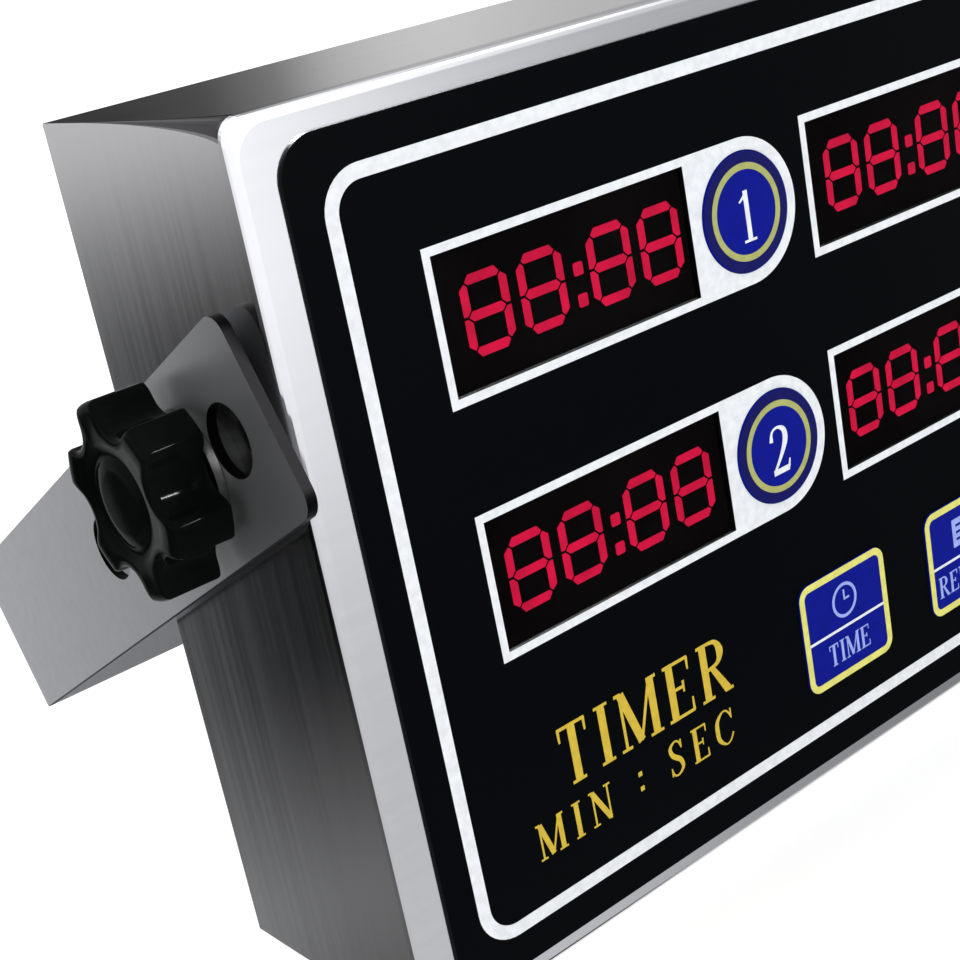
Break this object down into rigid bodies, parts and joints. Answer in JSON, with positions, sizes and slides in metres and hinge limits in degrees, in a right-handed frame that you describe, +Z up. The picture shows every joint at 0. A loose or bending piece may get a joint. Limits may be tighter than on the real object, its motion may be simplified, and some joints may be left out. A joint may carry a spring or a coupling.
{
  "type": "eight-channel digital kitchen timer",
  "caption": "Steel-cased multi-channel digital timer with seven-segment displays, round channel keys, a row of function keys and a swinging steel bracket held by star knobs.",
  "frame": {"origin": "centre of the case's bottom face", "axes": "+X to the right along the case's width, +Y to the back, +Z up; the displays face -Y"},
  "size_m": [0.3502, 0.1179, 0.125],
  "materials": {
    "case_steel": "brushed, fine vertical grain",
    "zinc_screw": "bright zinc plate",
    "overlay_film": "glossy black printed film",
    "window_film": "clear window over black",
    "display_body": "black face, red segments",
    "key_blue": "printed blue with a yellow ring",
    "circuit_board": "green solder mask",
    "standoff_brass": "turned",
    "switch_plastic": "moulded",
    "chip_epoxy": "moulded epoxy",
    "crystal_can": "drawn can",
    "capacitor_sleeve": "shrink sleeve",
    "black_moulding": "moulded",
    "nickel": "nickel plate",
    "lead_insulation": "flexible insulation",
    "connector_nylon": "moulded nylon",
    "bracket_steel": "brushed along the strip",
    "pad_rubber": "matt",
    "knob_plastic": "satin moulded"
  },
  "bodies": {
    "case": {"front_shell": "case_steel", "rear_cover": "case_steel", "cover_screws": "zinc_screw", "board_screws": "zinc_screw", "front_overlay": "overlay_film", "display_windows": "window_film", "display_1": "display_body", "display_2": "display_body", "display_3": "display_body", "display_4": "display_body", "display_5": "display_body", "display_6": "display_body", "display_7": "display_body", "display_8": "display_body", "main_board": "circuit_board", "board_standoffs": "standoff_brass", "tact_switches": "switch_plastic", "microcontroller": "chip_epoxy", "display_drivers": "chip_epoxy", "voltage_regulator": "chip_epoxy", "clock_crystal": "crystal_can", "filter_capacitors": "capacitor_sleeve", "buzzer": "black_moulding", "power_inlet": "black_moulding", "inlet_nut": "nickel", "power_lead": "lead_insulation", "lead_connector": "connector_nylon", "rivet_nut_left": "nickel", "pivot_pad_left": "pad_rubber", "rivet_nut_right": "nickel", "pivot_pad_right": "pad_rubber"},
    "bracket": {"bracket": "bracket_steel"},
    "channel_key_1": {"channel_key_1": "key_blue"},
    "channel_key_2": {"channel_key_2": "key_blue"},
    "channel_key_3": {"channel_key_3": "key_blue"},
    "channel_key_4": {"channel_key_4": "key_blue"},
    "channel_key_5": {"channel_key_5": "key_blue"},
    "channel_key_6": {"channel_key_6": "key_blue"},
    "channel_key_7": {"channel_key_7": "key_blue"},
    "channel_key_8": {"channel_key_8": "key_blue"},
    "time_key": {"time_key": "key_blue"},
    "remind_key": {"remind_key": "key_blue"},
    "volume_key": {"volume_key": "key_blue"},
    "up_key": {"up_key": "key_blue"},
    "down_key": {"down_key": "key_blue"},
    "set_key": {"set_key": "key_blue"},
    "clear_key": {"clear_key": "key_blue"},
    "knob_carriage_left": {"knob_washer_left": "nickel"},
    "knob_left": {"knob_head_left": "knob_plastic", "knob_stud_left": "nickel"},
    "knob_carriage_right": {"knob_washer_right": "nickel"},
    "knob_right": {"knob_head_right": "knob_plastic", "knob_stud_right": "nickel"}
  },
  "joints": [
    {"name": "bracket_swing", "type": "hinge", "parent": "case", "child": "bracket", "pos_m": [0, 0, 0.08], "axis": [1, 0, 0], "continuous": true},
    {"name": "channel_key_1_press", "type": "slide", "parent": "case", "child": "channel_key_1", "axis": [0, 1, 0], "range_m": [0, 0.0004], "stiffness_N_per_m": 1500, "springref_m": -0.0002},
    {"name": "channel_key_2_press", "type": "slide", "parent": "case", "child": "channel_key_2", "axis": [0, 1, 0], "range_m": [0, 0.0004], "stiffness_N_per_m": 1500, "springref_m": -0.0002},
    {"name": "channel_key_3_press", "type": "slide", "parent": "case", "child": "channel_key_3", "axis": [0, 1, 0], "range_m": [0, 0.0004], "stiffness_N_per_m": 1500, "springref_m": -0.0002},
    {"name": "channel_key_4_press", "type": "slide", "parent": "case", "child": "channel_key_4", "axis": [0, 1, 0], "range_m": [0, 0.0004], "stiffness_N_per_m": 1500, "springref_m": -0.0002},
    {"name": "channel_key_5_press", "type": "slide", "parent": "case", "child": "channel_key_5", "axis": [0, 1, 0], "range_m": [0, 0.0004], "stiffness_N_per_m": 1500, "springref_m": -0.0002},
    {"name": "channel_key_6_press", "type": "slide", "parent": "case", "child": "channel_key_6", "axis": [0, 1, 0], "range_m": [0, 0.0004], "stiffness_N_per_m": 1500, "springref_m": -0.0002},
    {"name": "channel_key_7_press", "type": "slide", "parent": "case", "child": "channel_key_7", "axis": [0, 1, 0], "range_m": [0, 0.0004], "stiffness_N_per_m": 1500, "springref_m": -0.0002},
    {"name": "channel_key_8_press", "type": "slide", "parent": "case", "child": "channel_key_8", "axis": [0, 1, 0], "range_m": [0, 0.0004], "stiffness_N_per_m": 1500, "springref_m": -0.0002},
    {"name": "time_key_press", "type": "slide", "parent": "case", "child": "time_key", "axis": [0, 1, 0], "range_m": [0, 0.0004], "stiffness_N_per_m": 1500, "springref_m": -0.0002},
    {"name": "remind_key_press", "type": "slide", "parent": "case", "child": "remind_key", "axis": [0, 1, 0], "range_m": [0, 0.0004], "stiffness_N_per_m": 1500, "springref_m": -0.0002},
    {"name": "volume_key_press", "type": "slide", "parent": "case", "child": "volume_key", "axis": [0, 1, 0], "range_m": [0, 0.0004], "stiffness_N_per_m": 1500, "springref_m": -0.0002},
    {"name": "up_key_press", "type": "slide", "parent": "case", "child": "up_key", "axis": [0, 1, 0], "range_m": [0, 0.0004], "stiffness_N_per_m": 1500, "springref_m": -0.0002},
    {"name": "down_key_press", "type": "slide", "parent": "case", "child": "down_key", "axis": [0, 1, 0], "range_m": [0, 0.0004], "stiffness_N_per_m": 1500, "springref_m": -0.0002},
    {"name": "set_key_press", "type": "slide", "parent": "case", "child": "set_key", "axis": [0, 1, 0], "range_m": [0, 0.0004], "stiffness_N_per_m": 1500, "springref_m": -0.0002},
    {"name": "clear_key_press", "type": "slide", "parent": "case", "child": "clear_key", "axis": [0, 1, 0], "range_m": [0, 0.0004], "stiffness_N_per_m": 1500, "springref_m": -0.0002},
    {"name": "knob_left_advance", "type": "slide", "parent": "case", "child": "knob_carriage_left", "axis": [-1, 0, 0], "range_m": [0, 0.002]},
    {"name": "knob_left_turn", "type": "hinge", "parent": "knob_carriage_left", "child": "knob_left", "pos_m": [-0.1655, 0, 0.08], "axis": [-1, 0, 0], "range_deg": [0, 720]},
    {"name": "knob_right_advance", "type": "slide", "parent": "case", "child": "knob_carriage_right", "axis": [1, 0, 0], "range_m": [0, 0.002]},
    {"name": "knob_right_turn", "type": "hinge", "parent": "knob_carriage_right", "child": "knob_right", "pos_m": [0.1655, 0, 0.08], "axis": [1, 0, 0], "range_deg": [0, 720]}
  ],
  "couplings": [
    {"joint": "knob_left_turn", "follows": "knob_left_advance", "rad_per_m": 6283.2},
    {"joint": "knob_right_turn", "follows": "knob_right_advance", "rad_per_m": 6283.2}
  ]
}
